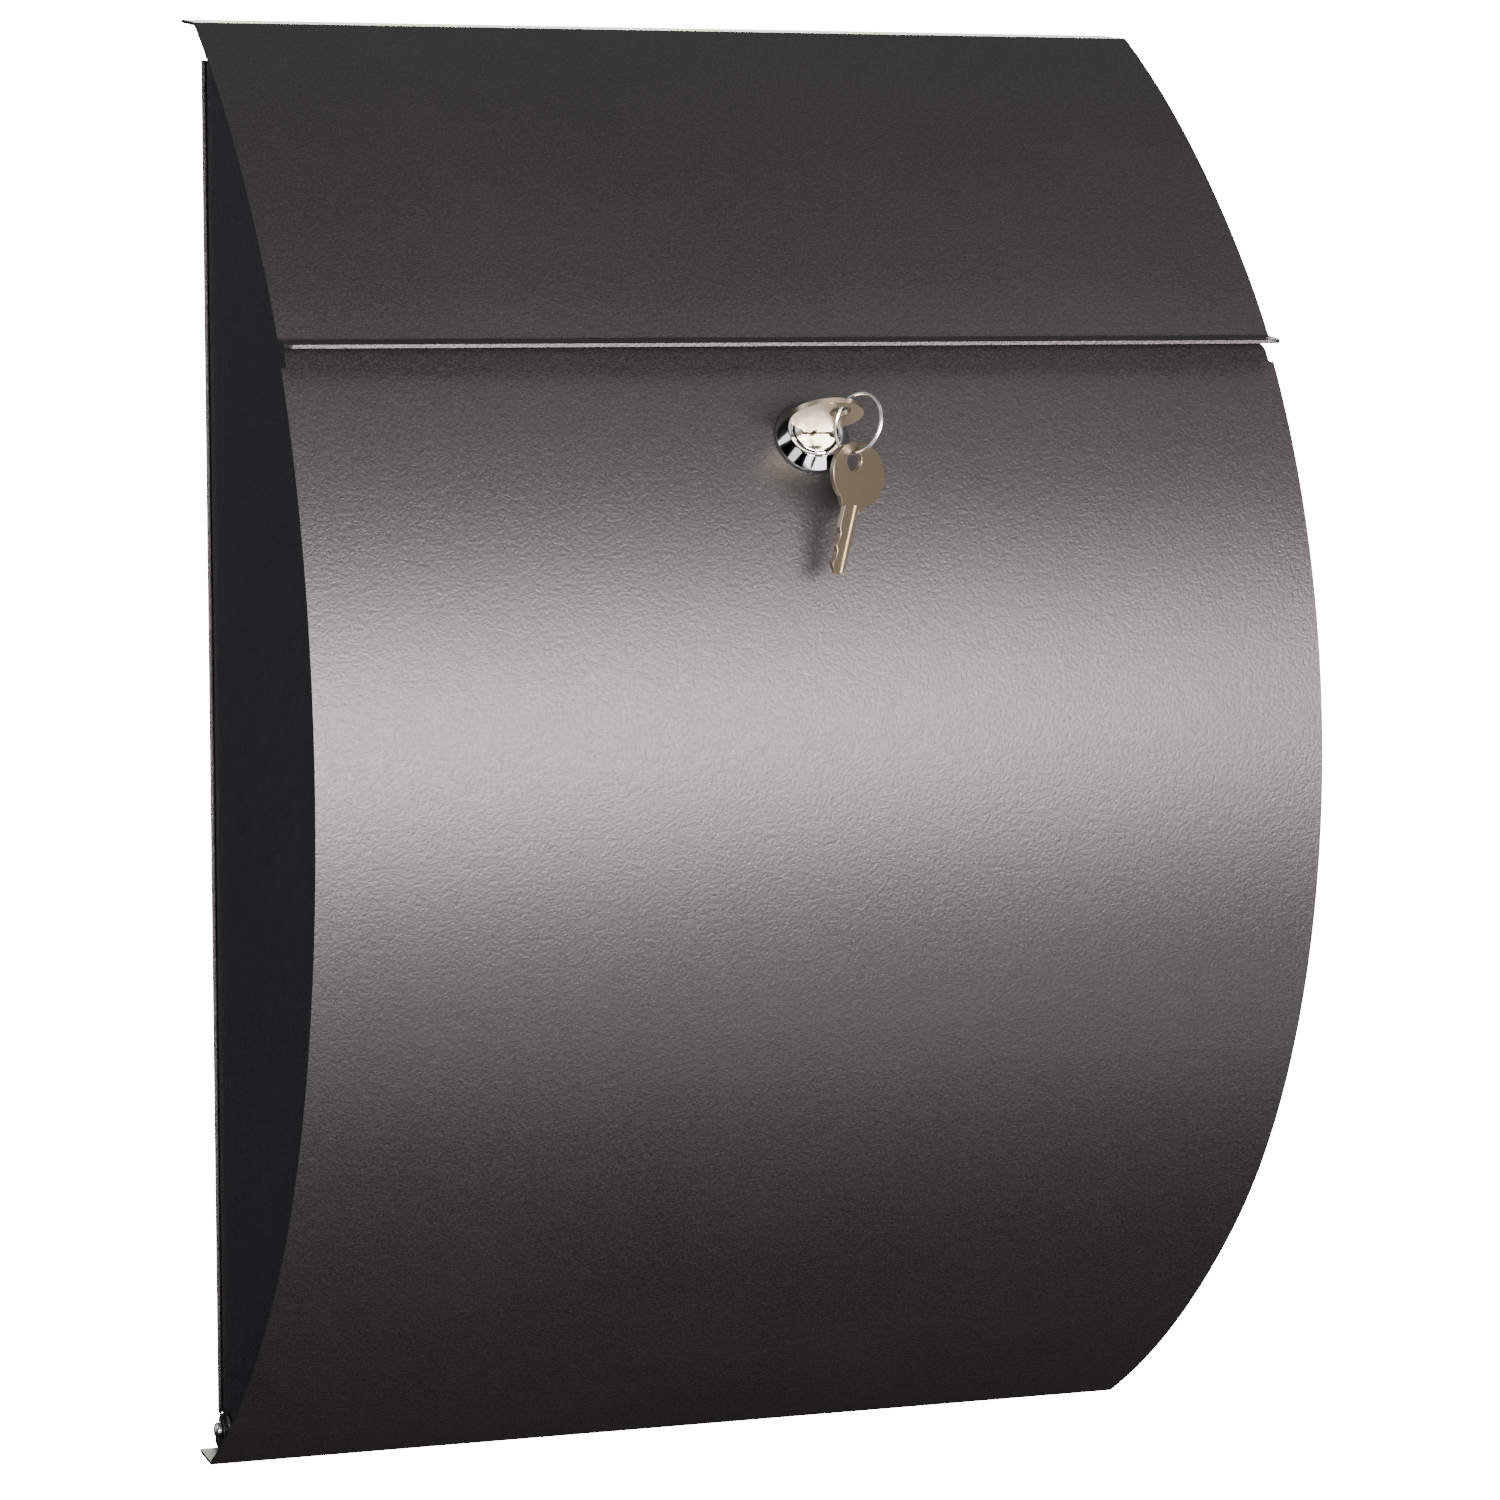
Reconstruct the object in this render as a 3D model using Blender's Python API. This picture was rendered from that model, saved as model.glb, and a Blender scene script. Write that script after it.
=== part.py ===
"""Wall mounted mailbox: a bowed sheet-steel door and mail lid hung on a narrow body, with a cam lock and its keys.

Dimensions are in millimetres and are scaled to metres as each mesh is made. The frame: X runs along the
mailbox's width, Y points into the wall, whose face is Y = 0, and Z is up. The origin lies in the wall plane at
the centre of the back. The door and the lid share one bowed outline, mirrored about Z = 0.
"""

import math

import bmesh
import bpy
from mathutils import Matrix, Vector

MM = 0.001

# Driving dimensions
WIDTH = 300.0  # door and lid, across
HEIGHT = 440.0  # from the door's bottom bend to the lid's top bend
SHEET = 1.0  # steel sheet
GAP = 0.3  # between touching pieces
BODY_HALF = 143.0  # centre to the outside of the back panel's flanges

# The bow: a middle arc that runs on into a flatter arc above and below, tangent where they meet
BOW_R = 210.9
BOW_CENTRE_Y = 32.3
FLAT_R = 389.7
TANGENT = math.radians(43.07)
FLAT_CENTRE_Y = BOW_CENTRE_Y + (FLAT_R - BOW_R) * math.cos(TANGENT)
FLAT_CENTRE_Z = (FLAT_R - BOW_R) * math.sin(TANGENT)
LID_PROUD = 1.4  # the lid's skin stands this far outside the door's

# Edges of the door and the lid
DOOR_TOP_Z = 125.6
LID_ROOT_Z = 127.4
DRIP_TIP = (-148.0, 126.1)  # outer edge of the lid's drip lip (y, z)
LID_REAR_TIP = (-7.0, 221.9)  # rear edge of the lid's top lip
DOOR_REAR_Y = -7.0  # rear edge of the door's bottom lip
DOOR_NOTCH = (1.5, 6.0)  # width and height cut from each of the door's top corners

# Hinges
LID_PIVOT = (-13.0, 212.0)
DOOR_PIVOT = (-13.0, -212.0)
SCREW_R = 1.5
HOLE_R = SCREW_R + GAP
HEAD_R, HEAD_H = 2.6, 2.2
NUT_FLATS, NUT_H = 5.5, 2.4

# Lock, in its own frame: x along X, y up along the door, z out along the door's normal
LOCK_X = 0.7
LOCK_ANGLE = math.radians(28.06)
BEZEL_R, BEZEL_H = 11.0, 4.6
BARREL_R, BARREL_BACK = 8.0, -16.0
PLUG_R = 6.4
CAM_PLANE = -18.1
CAM_REACH = 24.0

# Keys: u across the blade, v along it; v = 0 is level with the door's skin on the key in the lock
KEY_THICK = 1.5
KEY_TIP_V, KEY_SHOULDER_V = -14.0, 5.2
BLADE_HALF = 2.8
BOW_CENTRE_V, BOW_HALF_U, BOW_HALF_V = 15.0, 10.6, 9.0
KEY_HOLE_U, KEY_HOLE_V, KEY_HOLE_R = 3.0, 18.0, 3.0
SPARE_HOLE_U = 3.0  # the spare hangs with its other face forward
SPARE_TILT = math.radians(18.0)  # the hole is off the key's centre line, so the spare key hangs at a slant
RING_R, RING_WIRE_R = 8.6, 0.5
RING_OUT, RING_DROP = 7.73, 3.77  # ring centre from the hole of the key in the lock, in the ring's plane
RING_DIRECTION = Vector((0.46, -0.888, 0.0)).normalized()
RING_LEAN = math.radians(14.0)  # from upright

X_AXIS = Vector((1.0, 0.0, 0.0))
Z_AXIS = Vector((0.0, 0.0, 1.0))


# ---------------------------------------------------------------- helpers

def clear_scene():
    for obj in list(bpy.data.objects):
        bpy.data.objects.remove(obj, do_unlink=True)


def principled(name, color, roughness, metallic):
    material = bpy.data.materials.new(name)
    material.use_nodes = True
    shader = material.node_tree.nodes["Principled BSDF"]
    shader.inputs["Base Color"].default_value = (*color, 1.0)
    shader.inputs["Roughness"].default_value = roughness
    shader.inputs["Metallic"].default_value = metallic
    return material


def link_mesh(name, mesh, material, origin=None, smooth=False):
    """An object whose origin is at the given point (mm), with its mesh kept in place."""
    if origin is not None:
        mesh.transform(Matrix.Translation(-Vector(origin) * MM))
    obj = bpy.data.objects.new(name, mesh)
    if origin is not None:
        obj.location = Vector(origin) * MM
    if material is not None:
        mesh.materials.append(material)
    if smooth:
        mesh.shade_smooth()
        mesh.set_sharp_from_angle(angle=math.radians(32))
    bpy.context.scene.collection.objects.link(obj)
    return obj


def mesh_from(vertices, faces):
    """A mesh from points in millimetres, with its faces turned to point outwards."""
    mesh = bpy.data.meshes.new("mesh")
    mesh.from_pydata([tuple(Vector(v) * MM) for v in vertices], [], faces)
    edit = bmesh.new()
    edit.from_mesh(mesh)
    bmesh.ops.recalc_face_normals(edit, faces=edit.faces)
    edit.to_mesh(mesh)
    edit.free()
    return mesh


def prism(outline, low, high, place):
    """A closed prism over an outline of 2-D points; place(a, b, h) gives each point in space."""
    count = len(outline)
    vertices = [place(a, b, low) for a, b in outline] + [place(a, b, high) for a, b in outline]
    faces = [(i, (i + 1) % count, count + (i + 1) % count, count + i) for i in range(count)]
    faces += [tuple(reversed(range(count))), tuple(range(count, 2 * count))]
    return mesh_from(vertices, faces)


def across(y, z, x):
    """Places an outline drawn in (y, z) and extruded along X."""
    return (x, y, z)


def ring_solid(outer, inner, low, high, place):
    """A closed plate with a hole: outer and inner outlines have the same number of points."""
    count = len(outer)
    loops = [(outer, low), (outer, high), (inner, high), (inner, low)]
    vertices = [place(a, b, h) for loop, h in loops for a, b in loop]
    faces = []
    for k in range(4):
        m = (k + 1) % 4
        for i in range(count):
            j = (i + 1) % count
            faces.append((k * count + i, k * count + j, m * count + j, m * count + i))
    return mesh_from(vertices, faces)


def circle(radius, count, centre=(0.0, 0.0), start=0.0):
    return [
        (centre[0] + radius * math.cos(start + math.tau * i / count),
         centre[1] + radius * math.sin(start + math.tau * i / count))
        for i in range(count)
    ]


def hexagon(flats, per_side):
    """A hexagon's outline with per_side points on each side."""
    corners = circle(flats / math.sqrt(3.0), 6)
    points = []
    for i in range(6):
        (ax, ay), (bx, by) = corners[i], corners[(i + 1) % 6]
        points += [(ax + (bx - ax) * k / per_side, ay + (by - ay) * k / per_side) for k in range(per_side)]
    return points


def lathe(profile, segments, place):
    """A solid of revolution. profile holds (radius, height) from one end of the axis to the other."""
    vertices, rings = [], []
    for radius, height in profile:
        if radius == 0.0:
            rings.append([len(vertices)])
            vertices.append(place(0.0, 0.0, height))
            continue
        rings.append(list(range(len(vertices), len(vertices) + segments)))
        vertices += [place(a, b, height) for a, b in circle(radius, segments)]
    faces = []
    for low, high in zip(rings, rings[1:]):
        for i in range(segments):
            j = (i + 1) % segments
            if len(low) == 1:
                faces.append((low[0], high[i], high[j]))
            elif len(high) == 1:
                faces.append((low[i], low[j], high[0]))
            else:
                faces.append((low[i], low[j], high[j], high[i]))
    return mesh_from(vertices, faces)


def lathe_ring(profile, segments, place):
    """A ring of revolution, whose (radius, height) profile is a closed loop clear of the axis."""
    vertices = [place(a, b, h) for r, h in profile for a, b in circle(r, segments)]
    count = len(profile)
    faces = []
    for k in range(count):
        m = (k + 1) % count
        for i in range(segments):
            j = (i + 1) % segments
            faces.append((k * segments + i, k * segments + j, m * segments + j, m * segments + i))
    return mesh_from(vertices, faces)


def add_boolean(obj, operation, mesh, name):
    """Joins or cuts with a helper mesh, which stays in the scene as a hidden wire."""
    helper = link_mesh(name, mesh, None)
    helper.hide_render = True
    helper.display_type = "WIRE"
    modifier = obj.modifiers.new(operation.title(), "BOOLEAN")
    modifier.operation = operation
    modifier.solver = "EXACT"
    modifier.object = helper


# ---------------------------------------------------------------- the bow

def skin_point(angle, inside=0.0):
    """(y, z) on the bow where its normal is tilted up by angle, a given distance inside the outer skin."""
    side = math.copysign(1.0, angle)
    if abs(angle) <= TANGENT:
        radius, centre_y, centre_z = BOW_R - inside, BOW_CENTRE_Y, 0.0
    else:
        radius, centre_y, centre_z = FLAT_R - inside, FLAT_CENTRE_Y, -side * FLAT_CENTRE_Z
    return (centre_y - radius * math.cos(angle), centre_z + radius * math.sin(angle))


def skin_angle(z, inside=0.0):
    """The normal's tilt where the bow crosses a height."""
    side = math.copysign(1.0, z)
    if abs(z) <= (BOW_R - inside) * math.sin(TANGENT):
        return math.asin(z / (BOW_R - inside))
    return side * math.asin((abs(z) + FLAT_CENTRE_Z) / (FLAT_R - inside))


def skin_curve(z_low, z_high, inside, steps):
    """Points up the bow between two heights; the joins of its arcs are among them."""
    low, high = skin_angle(z_low, inside), skin_angle(z_high, inside)
    angles = {low + (high - low) * i / steps for i in range(steps + 1)}
    angles |= {a for a in (-TANGENT, TANGENT) if low < a < high}
    kept = []
    for angle in sorted(angles):
        if kept and angle - kept[-1] < 0.3 * (high - low) / steps and angle != high:
            continue
        kept.append(angle)
    return [skin_point(a, inside) for a in kept]


# ---------------------------------------------------------------- body

def back_panel(material):
    """Back sheet with a flange along each side, which laps the side panel."""
    inner, depth = BODY_HALF - SHEET, 2.5
    section = [
        (-BODY_HALF, 0.0), (BODY_HALF, 0.0), (BODY_HALF, -depth), (inner, -depth),
        (inner, -SHEET), (-inner, -SHEET), (-inner, -depth), (-BODY_HALF, -depth),
    ]
    low, high = DOOR_PIVOT[1] + 2.5, LID_PIVOT[1] - 2.0
    panel = link_mesh("back_panel", prism(section, low, high, lambda x, y, z: (x, y, z)), material)
    for index, (x, z) in enumerate([(-95.0, 150.0), (95.0, 150.0), (-95.0, -150.0), (95.0, -150.0)]):
        hole = prism(circle(3.0, 20, (x, z)), -SHEET - 2.0, 2.0, lambda a, b, y: (a, y, b))
        add_boolean(panel, "DIFFERENCE", hole, f"mounting_hole_{index}")


def pivot_corner(pivot, toward, radius, steps=6):
    """A rounded corner about a hinge pivot, from straight up or down round to the wall side."""
    points = []
    for i in range(steps + 1):
        angle = math.radians(90.0) * (1.0 - i / steps)
        points.append((pivot[0] + radius * math.cos(angle), pivot[1] + toward * radius * math.sin(angle)))
    return points


def side_panel(name, side, material):
    """Bow-fronted end plate. Its back corners are cut away, so that the lips can swing round the pivots."""
    edge, back, corner_r = 1.5, -SHEET - GAP, 5.5
    top, bottom = LID_PIVOT[1] + corner_r, DOOR_PIVOT[1] - corner_r
    outline = skin_curve(bottom, top, edge, 34)
    outline += pivot_corner(LID_PIVOT, 1.0, corner_r)
    outline += [(LID_PIVOT[0] + corner_r, LID_PIVOT[1] - 2.0), (back, LID_PIVOT[1] - 2.0)]
    outline += [(back, DOOR_PIVOT[1] + 2.5), (DOOR_PIVOT[0] + corner_r, DOOR_PIVOT[1] + 2.5)]
    outline += reversed(pivot_corner(DOOR_PIVOT, -1.0, corner_r))
    outer = side * (BODY_HALF - SHEET - GAP)
    inner = outer - side * SHEET
    panel = link_mesh(name, prism(outline, min(outer, inner), max(outer, inner), across), material)
    for label, pivot in (("lid", LID_PIVOT), ("door", DOOR_PIVOT)):
        hole = prism(circle(HOLE_R, 16, pivot), min(outer, inner) - 2.0, max(outer, inner) + 2.0, across)
        add_boolean(panel, "DIFFERENCE", hole, f"{name}_{label}_hole")


def floor_panel(material):
    """Floor with an upturned front edge, which keeps the mail in when the door is open."""
    half = BODY_HALF - 2.0 * (SHEET + GAP) - GAP
    low, front, lip = DOOR_PIVOT[1] + 4.0, -36.0, 8.0
    section = [
        (-SHEET - GAP, low), (-SHEET - GAP, low + SHEET), (front + SHEET, low + SHEET),
        (front + SHEET, low + lip), (front, low + lip), (front, low),
    ]
    link_mesh("floor_panel", prism(section, -half, half, across), material)


def in_lock_frame(x, y, z):
    return tuple(LOCK_MATRIX @ Vector((x, y, z)))


def lock_matrix():
    y, z = skin_point(LOCK_ANGLE)
    normal = Vector((0.0, -math.cos(LOCK_ANGLE), math.sin(LOCK_ANGLE)))
    up = Vector((0.0, math.sin(LOCK_ANGLE), math.cos(LOCK_ANGLE)))
    matrix = Matrix((X_AXIS, up, normal)).transposed().to_4x4()
    return Matrix.Translation((LOCK_X, y, z)) @ matrix


LOCK_MATRIX = lock_matrix()
LOCK_NORMAL = (LOCK_MATRIX.to_3x3() @ Z_AXIS).normalized()


def front_rail(material):
    """Cross rail behind the door's top edge: stop strip, web and the catch that the cam turns behind."""
    half = BODY_HALF - 2.0 * (SHEET + GAP) - GAP + 0.3
    strip_low, strip_high, catch_low, catch_depth = 18.0, 33.0, 13.0, -17.5
    section = [
        (strip_low, -3.0), (strip_high, -4.7), (strip_high - 0.1, -5.7), (strip_low + SHEET, -4.0),
        (strip_low + SHEET, catch_depth), (catch_low, catch_depth),
        (catch_low, catch_depth + SHEET), (strip_low, catch_depth + SHEET),
    ]

    def place(up, out, x):
        return in_lock_frame(x - LOCK_X, up, out)

    rail = link_mesh("front_rail", prism(section, -half, half, place), material)
    tab = [(strip_low, -3.0), (strip_high, -4.7), (strip_high, -16.0), (strip_low, -16.0)]
    for side in (-1.0, 1.0):
        ends = sorted((side * half, side * (half - SHEET)))
        add_boolean(rail, "UNION", prism(tab, *ends, place), f"rail_tab_{'left' if side < 0 else 'right'}")


# ---------------------------------------------------------------- lid and door

def lid_section():
    """The lid's outline in (y, z): rear lip, bowed skin and drip lip in one bent sheet."""
    outer, inner = -LID_PROUD, -LID_PROUD + SHEET
    skin_out = skin_curve(LID_ROOT_Z, HEIGHT / 2, outer, 16)
    skin_in = skin_curve(LID_ROOT_Z - SHEET, HEIGHT / 2 - SHEET, inner, 16)
    rear_y, rear_z = LID_REAR_TIP
    drip_y, drip_z = DRIP_TIP
    return (
        [(rear_y, rear_z - SHEET), (rear_y, rear_z)] + skin_out[::-1]
        + [(drip_y, drip_z), (drip_y, drip_z - SHEET)] + skin_in
    )


def lid(material):
    cover = link_mesh("lid", prism(lid_section(), -WIDTH / 2, WIDTH / 2, across), material,
                      origin=(0.0, *LID_PIVOT), smooth=True)
    outer = BODY_HALF - 2.0 * (SHEET + GAP)
    for side, label in ((-1.0, "left"), (1.0, "right")):
        ear = pivot_arc(LID_PIVOT, -1.0, 4.6) + [(LID_PIVOT[0] + 4.6, 220.6), (LID_PIVOT[0] - 7.0, 220.0)]
        ends = sorted((side * outer, side * (outer - SHEET)))
        add_boolean(cover, "UNION", prism(ear, *ends, across), f"lid_ear_{label}")
        hole = prism(circle(HOLE_R, 16, LID_PIVOT), ends[0] - 2.0, ends[1] + 2.0, across)
        add_boolean(cover, "DIFFERENCE", hole, f"lid_ear_hole_{label}")


def pivot_arc(pivot, toward, radius, steps=8):
    """A half circle about a pivot, on its upper (+1) or lower (-1) side, from front to back."""
    points = []
    for i in range(steps + 1):
        angle = math.pi * (1.0 - i / steps)
        points.append((pivot[0] + radius * math.cos(angle), pivot[1] + toward * radius * math.sin(angle)))
    return points


def door_section():
    """The door's outline in (y, z): bottom lip and bowed skin in one bent sheet."""
    low = -HEIGHT / 2
    skin_out = skin_curve(low, DOOR_TOP_Z, 0.0, 40)
    skin_in = skin_curve(low + SHEET, DOOR_TOP_Z, SHEET, 40)
    return [(DOOR_REAR_Y, low + SHEET), (DOOR_REAR_Y, low)] + skin_out + skin_in[::-1]


def door(material):
    panel = link_mesh("door", prism(door_section(), -WIDTH / 2, WIDTH / 2, across), material,
                      origin=(0.0, *DOOR_PIVOT), smooth=True)
    barrel_hole = prism(circle(BARREL_R + 0.4, 32), -12.0, 12.0, in_lock_frame)
    add_boolean(panel, "DIFFERENCE", barrel_hole, "lock_hole")
    inset, drop = DOOR_NOTCH
    for side, label in ((-1.0, "left"), (1.0, "right")):
        edge = WIDTH / 2 - inset
        notch = [
            (side * edge, DOOR_TOP_Z - drop), (side * (edge + 9.0), DOOR_TOP_Z - drop),
            (side * (edge + 9.0), DOOR_TOP_Z + 9.0), (side * (edge - 3.0), DOOR_TOP_Z + 9.0),
            (side * (edge - 3.0), DOOR_TOP_Z + 0.2), (side * edge, DOOR_TOP_Z - 2.8),
        ]
        cutter = prism(notch, -175.0, -110.0, lambda x, z, y: (x, y, z))
        add_boolean(panel, "DIFFERENCE", cutter, f"door_notch_{label}")
        y, z = DOOR_PIVOT
        base = -HEIGHT / 2 + SHEET / 2
        ear = [(y - 9.0, base), (y - 9.0, z - 2.0)] + pivot_arc(DOOR_PIVOT, 1.0, 5.2)
        ear += [(y + 10.4, z - 1.0), (y + 10.4, z - 6.4), (y + 6.0, base)]
        ends = sorted((side * (BODY_HALF + GAP), side * (BODY_HALF + GAP + SHEET)))
        add_boolean(panel, "UNION", prism(ear, *ends, across), f"door_ear_{label}")
        hole = prism(circle(HOLE_R, 16, DOOR_PIVOT), ends[0] - 2.0, ends[1] + 2.0, across)
        add_boolean(panel, "DIFFERENCE", hole, f"door_ear_hole_{label}")


# ---------------------------------------------------------------- hinge hardware

def hinge_screw(name, pivot, side, head_x, tip_x, material):
    """Pan-head screw along X, its head outside the body."""
    profile = [(0.0, tip_x), (SCREW_R, tip_x), (SCREW_R, head_x), (HEAD_R, head_x)]
    profile += [(HEAD_R * math.cos(a), head_x + HEAD_H * (0.35 + 0.65 * math.sin(a)))
                for a in (math.radians(d) for d in (0, 25, 50, 70))]
    profile.append((0.0, head_x + HEAD_H))

    def place(a, b, h):
        return (side * h, pivot[0] + a, pivot[1] + b)

    link_mesh(name, lathe(profile, 16, place), material, smooth=True)


def hex_nut(name, pivot, side, low_x, material):
    def place(a, b, h):
        return (side * h, pivot[0] + a, pivot[1] + b)

    outer = hexagon(NUT_FLATS, 3)
    inner = circle(HOLE_R, len(outer))
    link_mesh(name, ring_solid(outer, inner, low_x, low_x + NUT_H, place), material)


def hinge_hardware(steel):
    panel_out, panel_in = BODY_HALF - SHEET - GAP, BODY_HALF - 2 * SHEET - GAP
    ear_in = panel_in - GAP - SHEET
    ear_out = BODY_HALF + GAP + SHEET
    for side, label in ((-1.0, "left"), (1.0, "right")):
        nut_x = ear_in - GAP - NUT_H
        hinge_screw(f"lid_hinge_screw_{label}", LID_PIVOT, side, panel_out + GAP, nut_x - 0.5, steel)
        hex_nut(f"lid_hinge_nut_{label}", LID_PIVOT, side, nut_x, steel)
        nut_x = panel_in - GAP - NUT_H
        hinge_screw(f"door_hinge_screw_{label}", DOOR_PIVOT, side, ear_out + GAP, nut_x - 0.5, steel)
        hex_nut(f"door_hinge_nut_{label}", DOOR_PIVOT, side, nut_x, steel)

        def place(a, b, h, side=side):
            return (side * h, DOOR_PIVOT[0] + a, DOOR_PIVOT[1] + b)

        washer = ring_solid(circle(4.2, 20), circle(HOLE_R, 20), panel_out + GAP, BODY_HALF, place)
        link_mesh(f"door_hinge_washer_{label}", washer, steel)


# ---------------------------------------------------------------- lock

def lock_origin(height):
    return in_lock_frame(0.0, 0.0, height)


def lock(chrome, steel):
    bore = PLUG_R + GAP
    housing = [
        (bore, BARREL_BACK), (BARREL_R, BARREL_BACK), (BARREL_R, GAP), (BEZEL_R, GAP), (BEZEL_R, 1.2),
        (8.2, BEZEL_H - 0.2), (7.8, BEZEL_H), (7.1, BEZEL_H), (bore, BEZEL_H - 0.4),
    ]
    link_mesh("lock_housing", lathe_ring(housing, 40, in_lock_frame), chrome, smooth=True)

    washer_low, nut_low = -2.6, -6.6
    outer = circle(10.4, 24)
    link_mesh("lock_washer", ring_solid(outer, circle(BARREL_R + GAP, 24), washer_low, -1.6, in_lock_frame), steel)
    outer = hexagon(19.0, 4)
    inner = circle(BARREL_R + GAP, len(outer))
    link_mesh("lock_nut", ring_solid(outer, inner, nut_low, washer_low - GAP, in_lock_frame), steel)

    boss, screw_r = 3.0, 1.5
    plug = [
        (0.0, BARREL_BACK - 2.0), (7.4, BARREL_BACK - 2.0), (7.4, BARREL_BACK - GAP),
        (PLUG_R, BARREL_BACK - GAP), (PLUG_R, BEZEL_H - 0.6), (PLUG_R - 0.5, BEZEL_H - 0.1), (0.0, BEZEL_H - 0.1),
    ]
    plug_obj = link_mesh("lock_plug", lathe(plug, 32, in_lock_frame), chrome,
                         origin=lock_origin(0.0), smooth=True)
    square = [(-boss, -boss), (boss, -boss), (boss, boss), (-boss, boss)]
    boss_back = CAM_PLANE - 1.7
    add_boolean(plug_obj, "UNION", prism(square, boss_back, BARREL_BACK - 1.0, in_lock_frame), "plug_boss")
    half_u, half_t = BLADE_HALF + GAP, KEY_THICK / 2 + GAP
    slot = [(-half_u, -half_t), (half_u, -half_t), (half_u, half_t), (-half_u, half_t)]
    add_boolean(plug_obj, "DIFFERENCE", prism(slot, KEY_TIP_V - GAP, BEZEL_H + 3.0, in_lock_frame), "keyway")
    screw_hole = prism(circle(screw_r + GAP, 16), boss_back - 2.0, BARREL_BACK - 1.2, in_lock_frame)
    add_boolean(plug_obj, "DIFFERENCE", screw_hole, "cam_screw_hole")

    cam_end = CAM_REACH - 6.0
    turns = [math.radians(d) for d in range(-90, 91, 20)]
    outline = [(6.0 * math.cos(a), 6.0 * math.sin(a)) for a in turns]
    outline += [(-cam_end - 6.0 * math.cos(a), -6.0 * math.sin(a)) for a in turns]
    cam = link_mesh("lock_cam", prism(outline, CAM_PLANE - 1.7, CAM_PLANE, in_lock_frame), steel,
                    origin=lock_origin(0.0))
    half = boss + GAP
    square = [(-half, -half), (half, -half), (half, half), (-half, half)]
    add_boolean(cam, "DIFFERENCE", prism(square, CAM_PLANE - 4.0, CAM_PLANE + 2.0, in_lock_frame), "cam_square")

    head = boss_back - GAP
    screw = [(0.0, head - 2.2), (3.2, head - 2.2), (3.9, head - 1.4), (3.9, head), (screw_r, head),
             (screw_r, BARREL_BACK - 1.6), (0.0, BARREL_BACK - 1.6)]
    link_mesh("cam_screw", lathe(screw, 20, in_lock_frame), steel, origin=lock_origin(0.0), smooth=True)


# ---------------------------------------------------------------- keys

def key_outline():
    """Blade, shoulders and oval bow, as (u, v) points."""
    join = math.asin((KEY_SHOULDER_V + 2.0 - BOW_CENTRE_V) / BOW_HALF_V)
    bow = []
    for i in range(25):
        angle = join + (math.pi - 2.0 * join) * i / 24
        bow.append((BOW_HALF_U * math.cos(angle), BOW_CENTRE_V + BOW_HALF_V * math.sin(angle)))
    blade = [
        (-BLADE_HALF - 1.2, KEY_SHOULDER_V), (-BLADE_HALF, KEY_SHOULDER_V), (-BLADE_HALF, KEY_TIP_V + 2.5),
        (-1.0, KEY_TIP_V), (1.0, KEY_TIP_V), (BLADE_HALF, KEY_TIP_V + 2.5), (BLADE_HALF, KEY_SHOULDER_V),
        (BLADE_HALF + 1.2, KEY_SHOULDER_V),
    ]
    return bow + blade


def key(name, place, origin, material, hole_u):
    half = KEY_THICK / 2
    obj = link_mesh(name, prism(key_outline(), -half, half, place), material, origin=origin)
    hole = prism(circle(KEY_HOLE_R, 20, (hole_u, KEY_HOLE_V)), -half - 2.0, half + 2.0, place)
    add_boolean(obj, "DIFFERENCE", hole, f"{name}_hole")


def torus(centre, first, second, radius, wire, segments, sides):
    """A ring of wire in the plane of two unit vectors."""
    normal = first.cross(second)
    vertices, faces = [], []
    for i in range(segments):
        angle = math.tau * i / segments
        spoke = first * math.cos(angle) + second * math.sin(angle)
        for k in range(sides):
            turn = math.tau * k / sides
            vertices.append(centre + spoke * (radius + wire * math.cos(turn)) + normal * (wire * math.sin(turn)))
    for i in range(segments):
        for k in range(sides):
            a, b = i * sides, ((i + 1) % segments) * sides
            m = (k + 1) % sides
            faces.append((a + k, b + k, b + m, a + m))
    return mesh_from(vertices, faces)


def keys(nickel, steel):
    """The ring runs through the hole of the key in the lock and hangs out beyond its bow, with the spare on it."""
    key("key_in_lock", lambda u, v, t: in_lock_frame(u, t, v), in_lock_frame(0.0, 0.0, KEY_SHOULDER_V), nickel,
        KEY_HOLE_U)
    hole = Vector(in_lock_frame(KEY_HOLE_U, 0.0, KEY_HOLE_V))
    sideways = Z_AXIS.cross(RING_DIRECTION)
    ring_up = Z_AXIS * math.cos(RING_LEAN) + sideways * math.sin(RING_LEAN)
    centre = hole + RING_DIRECTION * RING_OUT - ring_up * RING_DROP
    ring = torus(centre, RING_DIRECTION, ring_up, RING_R, RING_WIRE_R, 48, 10)
    link_mesh("key_ring", ring, steel, origin=hole, smooth=True)

    wire_low = centre - ring_up * RING_R
    spare_hole = wire_low - Z_AXIS * (KEY_HOLE_R - RING_WIRE_R - GAP)
    blade_up = Z_AXIS * math.cos(SPARE_TILT) + sideways * math.sin(SPARE_TILT)
    blade_across = sideways * math.cos(SPARE_TILT) - Z_AXIS * math.sin(SPARE_TILT)

    def place(u, v, t):
        turned = blade_across * (u + SPARE_HOLE_U) + blade_up * (v - KEY_HOLE_V)
        return tuple(spare_hole + turned + RING_DIRECTION * t)

    key("spare_key", place, wire_low, nickel, -SPARE_HOLE_U)


# ---------------------------------------------------------------- assembly

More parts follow.
